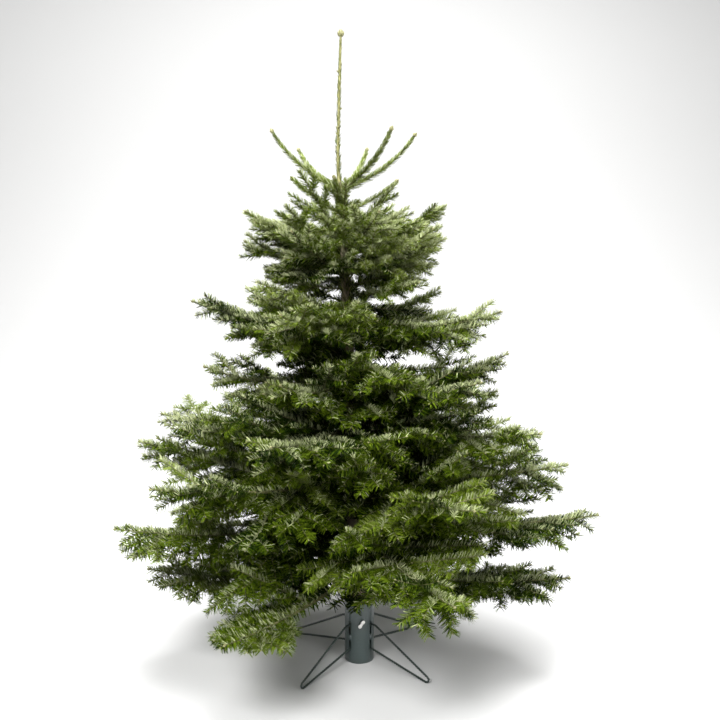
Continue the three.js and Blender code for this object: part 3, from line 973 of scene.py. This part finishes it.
class FIR_OT_leader(bpy.types.Operator):
    """Clothe the leader and the trunk's upper stretch in close needles"""

    bl_idname = "fir.leader"
    bl_label = "Leader needles"

    def execute(self, context):
        settings = context.scene.fir_crown
        shades = SHADES[:SILVER] + ("shoot",)
        # The leader's colours are darkened copies of the needles' colours: painted shade.
        colors = [lighter(getattr(settings, shade), LEADER_PAINTED_SHADE) for shade in shades]
        materials = [needle_material("leader_" + shade, color) for shade, color in zip(shades, colors)]
        rng = np.random.default_rng(SEED + LEADER_SEED)
        stem = self.stretch(LEADER_FOOT, STEM_TOP, STEM_RADII, steps=40)
        close = needles_on(stem, rng, settings, 1, open_air=True, **STEM)
        upper = self.stretch(UPPER_TRUNK_FOOT, LEADER_FOOT, UPPER_TRUNK_RADII, steps=30)
        loose = needles_on(upper, rng, settings, 1, open_air=True, **UPPER_TRUNK)
        piece = needle_mesh("needles_leader", [close, loose], materials)
        declare(piece, "needles")
        return {"FINISHED"}

    def stretch(self, low, high, radii, steps):
        """A stretch of the trunk, between two heights."""
        points = np.array([trunk_point(z) for z in np.linspace(low, high, steps)])
        return Twig(points, radii, 0, 0, "leader", 0, None)


# ---- Buds ----

# A bud's rings: how far along it they are and how wide, as shares of its length and radius.
BUD_SHAPE = ((-0.15, 0.6), (0.25, 1.0), (0.7, 0.85), (1.0, 0.3))

# Length and radius of a bud, and for a cluster the number of buds round its middle one.
TOP_CLUSTER, SHOOT_CLUSTER, LIMB_CLUSTER = (0.016, 0.0066, 6), (0.011, 0.0042, 4), (0.0085, 0.0028, 3)
STEM_BUD, TWIG_BUD = (0.008, 0.0028), (0.0062, 0.0019)
TOP_CLUSTER_AT = TOP - 18

# The buds on the leader's sides, by height and turn, with their rise and their distance out.
STEM_BUDS = ((1757, 3.3), (1654, 0.2), (1602, 5.0), (1555, 1.9))
STEM_BUD_RISE, STEM_BUD_OUT = 0.7, 0.003

# A direction that no twig has, to turn a cluster by.
ASKEW = np.array([0.31, 0.77, 0.12])

# The outer buds of a cluster: how far out and back their feet are, how far they spread, and their
# length and radius against the middle one's.
OUTER_OUT, OUTER_BACK, OUTER_SPREAD = 0.6, 0.15, 0.35
OUTER_LENGTH, OUTER_RADIUS = 0.75, 0.7


class FIR_OT_buds(bpy.types.Operator):
    """Set a bud on every twig's tip, and clusters on the leader and the top shoots"""

    bl_idname = "fir.buds"
    bl_label = "Buds"

    def execute(self, context):
        settings = context.scene.fir_crown
        large, small = [], []

        def bud(place, along, length, radius, kind=large):
            points = np.array([place + along * length * at for at, _ in BUD_SHAPE])
            kind.append((points, [radius * share for _, share in BUD_SHAPE], 0))

        def cluster(place, along, length, radius, count):
            bud(place, along, length, radius)
            across = unit(np.cross(along, ASKEW))
            over = np.cross(along, across)
            for i in range(count):
                turn = 2 * math.pi * i / count
                out = across * math.cos(turn) + over * math.sin(turn)
                foot = place + out * radius * OUTER_OUT - along * length * OUTER_BACK
                heading = unit(along + out * OUTER_SPREAD)
                bud(foot, heading, length * OUTER_LENGTH, radius * OUTER_RADIUS)

        for twigs in grown():
            for one in twigs:
                place, along = one.at(1.0)[0], one.heading(1.0)[0]
                if one.is_shoot():
                    cluster(place, along, *SHOOT_CLUSTER)
                elif one.order == 0:
                    cluster(place, along, *LIMB_CLUSTER)
                else:
                    bud(place, along, *TWIG_BUD, small)
        cluster(trunk_point(TOP_CLUSTER_AT), UP, *TOP_CLUSTER)
        for z, turn in STEM_BUDS:
            out = np.array([math.cos(turn), math.sin(turn), STEM_BUD_RISE])
            bud(trunk_point(z) + out * STEM_BUD_OUT, unit(out), *STEM_BUD)
        scales = twig_material("bud_scales", settings.bud, roughness=0.5)
        declare(swept("buds_large", large, [scales], resolution=1), "bark")
        declare(swept("buds_small", small, [scales], resolution=0), "bark")
        return {"FINISHED"}


# ---- The stand ----

# In millimetres and degrees, as the solids have them. The line of a rod lies in an upright plane
# through the tube's axis, where a point is a complex number: its distance out and its height.
LEG_ANGLES = (50.5, 140.5, 230.5, 320.5)
TUBE_RADIUS, TUBE_WALL, TUBE_PLATE = 45, 2, 3
SLOT_WIDTH, SLOTS = 8, ((40, 71), (90, 129))
ROD_RADIUS = 3
TOE_REACH, TOE_BEND = 265, 9
INSIDE, HOOK, STUB, HEEL = 39, 122, 64, 46
INNER_BEND, SHOULDER_BEND, SPLIT = 5, 12, 4
BRIDGE_SUNK = 0.6
BEND_STEPS, COIL_STEPS = 8, 14

# What the solids leave plain, in metres and radians.
EDGE, CUTTER_DEPTH, PLATE_GAP = 0.0005, 0.012, 0.0002
BRIDGE_DEEP, BRIDGE_WIDE, BRIDGE_SHORT = 0.0036, 0.0068, 0.0006
SCREW_PLACE, SCREW_LEAN = (0.007, 0.131), math.radians(55)
SCREW_RADIUS, SCREW_LENGTH, SCREW_OUT = 0.0042, 0.012, 0.005
WING_OUT, WING_APART, WING_SIZE = 0.010, 0.0078, (0.0068, 0.0016, 0.0058)


def arc(centre, start, end, clockwise, steps):
    """Points on an arc between two points of a circle."""
    sweep = cmath.phase((end - centre) / (start - centre)) % (2 * math.pi)
    if clockwise:
        sweep -= 2 * math.pi
    return [centre + (start - centre) * cmath.exp(1j * sweep * i / steps) for i in range(steps + 1)]


def corner(before, at, after, bend, steps):
    """A rounded corner between two straight stretches."""
    back, on = (before - at) / abs(before - at), (after - at) / abs(after - at)
    half = math.acos(clamp((back * on.conjugate()).real, -1, 1)) / 2
    middle = at + (back + on) / abs(back + on) * bend / math.sin(half)
    inset = bend / math.tan(half)
    clockwise = (back.conjugate() * on).imag > 0
    return arc(middle, at + back * inset, at + on * inset, clockwise, steps)


def touching(point, centre, radius, side):
    """Where a line from a point touches a circle, above (-1) or below (1) it."""
    away = point - centre
    turn = math.acos(radius / abs(away)) * side
    return centre + away / abs(away) * radius * cmath.exp(1j * turn)


def leg_line(angle, steps):
    """The middle of a leg's rod, in metres, as a line from one end to the other."""
    bridge = (SLOTS[0][1] + SLOTS[1][0]) / 2
    toe = complex(TOE_REACH - ROD_RADIUS - TOE_BEND, ROD_RADIUS + TOE_BEND)
    top, shoulder, heel = complex(INSIDE, HOOK), complex(STUB, HOOK), complex(INSIDE, HEEL)
    upper_end, lower_end = (complex(INSIDE, bridge + end * SPLIT / 2) for end in (1, -1))
    toe_top = touching(shoulder, toe, TOE_BEND, -1)
    toe_foot = touching(heel, toe, TOE_BEND, 1)
    line = [upper_end]
    line += corner(upper_end, top, shoulder, INNER_BEND, steps)
    line += corner(top, shoulder, toe_top, SHOULDER_BEND, steps)
    line += arc(toe, toe_top, toe_foot, True, 2 * steps)
    line += corner(toe_foot, heel, lower_end, INNER_BEND, steps)
    line += [lower_end]
    turn = math.radians(angle)
    return np.array([[p.real * math.cos(turn), p.real * math.sin(turn), p.imag] for p in line]) * MM


def coil(line, radius, pitch, turn_steps):
    """A helix wound round a line that lies in an upright plane."""
    path = Twig(line, (1, 1), 0, 0, "rod", 0, None)
    turns = path.length / pitch
    share = np.linspace(0, 1, int(turns * turn_steps))
    ahead = path.heading(share)
    across = unit(np.cross(UP, line.max(axis=0) + line.min(axis=0)) * [1, 1, 0])
    over = np.cross(ahead, across)
    turn = (2 * math.pi * turns * share)[:, None]
    return path.at(share) + (across * np.cos(turn) + over * np.sin(turn)) * radius


class FIR_OT_legs(bpy.types.Operator):
    """Bend the four ribbed rods that make the legs"""

    bl_idname = "fir.legs"
    bl_label = "Legs"

    def execute(self, context):
        settings = context.scene.fir_stand
        paint = paint_material("rod_paint", settings.rod_paint, roughness=0.34, worn=0.15)
        rib = settings.rib_height
        core = ROD_RADIUS * MM
        for i, angle in enumerate(LEG_ANGLES):
            line = leg_line(angle, BEND_STEPS)
            ribs = coil(line, core, settings.rib_pitch, COIL_STEPS)
            splines = [
                (line, np.full(len(line), core), 0),
                (ribs, np.full(len(ribs), rib), 0),
            ]
            name = f"stand_leg_{i + 1}"
            leg = swept(name + "_rod", splines, [paint], resolution=2)
            smooth(leg)
            declare(leg, "painted_rod", name)
        return {"FINISHED"}


class FIR_OT_tube(bpy.types.Operator):
    """Make the slotted tube with its foot plate, its bridges and its clamping screw"""

    bl_idname = "fir.tube"
    bl_label = "Tube"

    def execute(self, context):
        settings = context.scene.fir_stand
        paint = paint_material("tube_paint", settings.tube_paint, roughness=0.38, worn=0.25)
        zinc = Finish("zinc", settings.zinc, roughness=0.32, metallic=0.85).material
        self.hand_over(self.wall(), paint, 35, "stand_tube")
        self.hand_over(self.foot_plate(), paint, 35)
        self.hand_over(self.bridges(), paint, 60)
        self.hand_over(self.screw(), zinc, 40)
        return {"FINISHED"}

    def hand_over(self, piece, material, degrees, *nodes):
        piece.data.materials.clear()
        piece.data.materials.append(material)
        smooth(piece, degrees)
        declare(piece, "painted_steel", *nodes)

    def cylinder(self, radius, depth, place, vertices, **settings):
        """A cylinder with nothing else selected."""
        nothing_selected()
        bpy.ops.mesh.primitive_cylinder_add(
            vertices=vertices, radius=radius, depth=depth, location=place, **settings
        )
        return bpy.context.object

    def wall(self):
        """The open tube with its slots."""
        height = TUBE_HEIGHT * MM
        place = (0, 0, height / 2)
        tube = self.cylinder(TUBE_RADIUS * MM, height, place, vertices=120, end_fill_type="NOTHING")
        tube = settled(tube, "stand_tube_wall")
        apply_modifier(tube, "SOLIDIFY", thickness=TUBE_WALL * MM, offset=-1)
        for angle in LEG_ANGLES:
            for low, high in SLOTS:
                cutter = self.slot_cutter(math.radians(angle), low * MM, high * MM)
                apply_modifier(tube, "BOOLEAN", object=cutter, operation="DIFFERENCE", solver="EXACT")
                bpy.data.objects.remove(cutter)
        apply_modifier(tube, "BEVEL", width=EDGE, segments=2, limit_method="ANGLE")
        return tube

    def slot_cutter(self, turn, low, high):
        """A block that cuts one slot."""
        nothing_selected()
        reach = (TUBE_RADIUS - TUBE_WALL / 2) * MM
        place = (reach * math.cos(turn), reach * math.sin(turn), (low + high) / 2)
        bpy.ops.mesh.primitive_cube_add(size=1, location=place, rotation=(0, 0, turn))
        cutter = bpy.context.object
        cutter.scale = (CUTTER_DEPTH, SLOT_WIDTH * MM, high - low)
        bpy.ops.object.transform_apply(scale=True)
        return cutter

    def foot_plate(self):
        """The plate that closes the tube's foot."""
        inner = (TUBE_RADIUS - TUBE_WALL) * MM - PLATE_GAP
        depth = TUBE_PLATE * MM
        plate = self.cylinder(inner, depth, (0, 0, depth / 2), vertices=96)
        return settled(plate, "stand_foot_plate")

    def bridges(self):
        """The pressed bumps between the slots, which hold the ends of the rods."""
        low, high = SLOTS[0][1] * MM, SLOTS[1][0] * MM
        size = (BRIDGE_DEEP, BRIDGE_WIDE, (high - low) / 2 - BRIDGE_SHORT)
        out = (TUBE_RADIUS - BRIDGE_SUNK) * MM
        bumps = []
        for angle in LEG_ANGLES:
            turn = math.radians(angle)
            place = (out * math.cos(turn), out * math.sin(turn), (low + high) / 2)
            bumps.append(pebble(place, (0, 0, turn), size, segments=28))
        return joined(bumps, "stand_bridges")

    def screw(self):
        """A small wing screw high on the front of the tube."""
        front = -TUBE_RADIUS * MM
        x, z = SCREW_PLACE
        place, lying = (x, front - SCREW_OUT, z), (math.pi / 2, 0, 0)
        parts = [self.cylinder(SCREW_RADIUS, SCREW_LENGTH, place, vertices=32, rotation=lying)]
        for side in (-1, 1):
            away = side * WING_APART
            place = (x + away * math.cos(SCREW_LEAN), front - WING_OUT, z + away * math.sin(SCREW_LEAN))
            parts.append(pebble(place, (0, -SCREW_LEAN, 0), WING_SIZE, segments=24))
        return joined(parts, "stand_wing_screw")


# ---- The stage ----

FLOOR_SIZE, BACKDROP_HEIGHT = 9, 7
SWEEP_RADIUS, SWEEP_STEPS = 2.4, 16
STUDIO_LIGHT = 0.19
CAMERA_SIDE, SENSOR = 0.0022, 36

# The lamps point at AIM. They have a name, a place, a size in metres and a power in watts.
AIM = (0, 0, 0.9)
LIGHTS = (
    ("key", (-1.4, -3.2, 3.8), 2.0, 400),
    ("fill", (2.6, -3.0, 2.2), 2.2, 130),
    ("crown", (0.2, 0.2, 4.6), 3.4, 620),
)


class FIR_OT_stage(bpy.types.Operator):
    """Set the floor, the lights and the camera"""

    bl_idname = "fir.stage"
    bl_label = "Stage"

    def execute(self, context):
        settings = context.scene.fir_stage
        floor = self.floor()
        paper = Finish("floor_paper", settings.floor, roughness=0.9, specular=0.1)
        floor.data.materials.append(paper.material)
        self.lights(context)

        nothing_selected()
        bpy.ops.object.camera_add(location=(CAMERA_SIDE, -settings.distance, settings.height))
        camera = context.object
        camera.rotation_euler = (math.pi / 2 - settings.down, 0, 0)
        camera.data.lens = settings.lens
        camera.data.sensor_width = SENSOR
        context.scene.camera = camera
        context.scene.view_settings.view_transform = "Standard"
        return {"FINISHED"}

    def floor(self):
        """A floor that curves up to a backdrop at its far edge."""
        nothing_selected()
        bpy.ops.mesh.primitive_plane_add(size=FLOOR_SIZE)
        floor = bpy.context.object
        floor.name = "floor"
        self.mark_far_edges(floor)
        bpy.ops.mesh.select_mode(type="EDGE")
        bpy.ops.mesh.extrude_edges_move(TRANSFORM_OT_translate={"value": (0, 0, BACKDROP_HEIGHT)})
        self.mark_far_edges(floor)
        bpy.ops.mesh.bevel(offset=SWEEP_RADIUS, segments=SWEEP_STEPS)
        bpy.ops.object.mode_set(mode="OBJECT")
        smooth(floor, 60)
        return floor

    def mark_far_edges(self, floor):
        """Selects the edges on the floor's far side that lie on the ground, in edit mode."""
        bpy.ops.object.mode_set(mode="EDIT")
        bpy.ops.mesh.select_all(action="DESELECT")
        bpy.ops.object.mode_set(mode="OBJECT")
        for edge in floor.data.edges:
            ends = [floor.data.vertices[end].co for end in edge.vertices]
            edge.select = all(end.y > 0 and end.z < 1 for end in ends)
        bpy.ops.object.mode_set(mode="EDIT")

    def lights(self, context):
        """The even light of the studio and three soft lamps."""
        world = bpy.data.worlds.new("studio")
        world.use_nodes = True
        background = world.node_tree.nodes["Background"]
        background.inputs["Color"].default_value = (1, 1, 1, 1)
        background.inputs["Strength"].default_value = STUDIO_LIGHT
        context.scene.world = world
        for name, place, size, power in LIGHTS:
            nothing_selected()
            bpy.ops.object.light_add(type="AREA", location=place)
            light = context.object
            light.name = name
            light.data.size = size
            light.data.energy = power
            aim = Vector(AIM) - Vector(place)
            light.rotation_euler = aim.to_track_quat("-Z", "Y").to_euler()


class FIR_PT_panel(bpy.types.Panel):
    """The fir's pieces, in the order that they are made"""

    bl_idname = "FIR_PT_panel"
    bl_label = "Fir in a stand"
    bl_space_type = "VIEW_3D"
    bl_region_type = "UI"
    bl_category = "Fir"

    def draw(self, context):
        for settings in (context.scene.fir_crown, context.scene.fir_stand, context.scene.fir_stage):
            box = self.layout.box()
            for name in settings.__annotations__:
                box.prop(settings, name)
        for piece in PIECES:
            self.layout.operator(piece.bl_idname)


PIECES = (
    FIR_OT_bark,
    FIR_OT_twigs,
    FIR_OT_needles,
    FIR_OT_leader,
    FIR_OT_buds,
    FIR_OT_legs,
    FIR_OT_tube,
    FIR_OT_stage,
)
SETTINGS = (
    ("fir_crown", FirCrownSettings),
    ("fir_stand", FirStandSettings),
    ("fir_stage", FirStageSettings),
)


def register():
    for name, group in SETTINGS:
        bpy.utils.register_class(group)
        setattr(bpy.types.Scene, name, PointerProperty(type=group))
    for piece in PIECES + (FIR_PT_panel,):
        bpy.utils.register_class(piece)


def unregister():
    for piece in (FIR_PT_panel,) + PIECES[::-1]:
        bpy.utils.unregister_class(piece)
    for name, group in SETTINGS[::-1]:
        delattr(bpy.types.Scene, name)
        bpy.utils.unregister_class(group)


def main():
    register()
    bpy.ops.fir.bark()
    bpy.ops.fir.twigs()
    bpy.ops.fir.needles()
    bpy.ops.fir.leader()
    bpy.ops.fir.buds()
    bpy.ops.fir.legs()
    bpy.ops.fir.tube()
    bpy.ops.fir.stage()


if __name__ == "__main__":
    main()
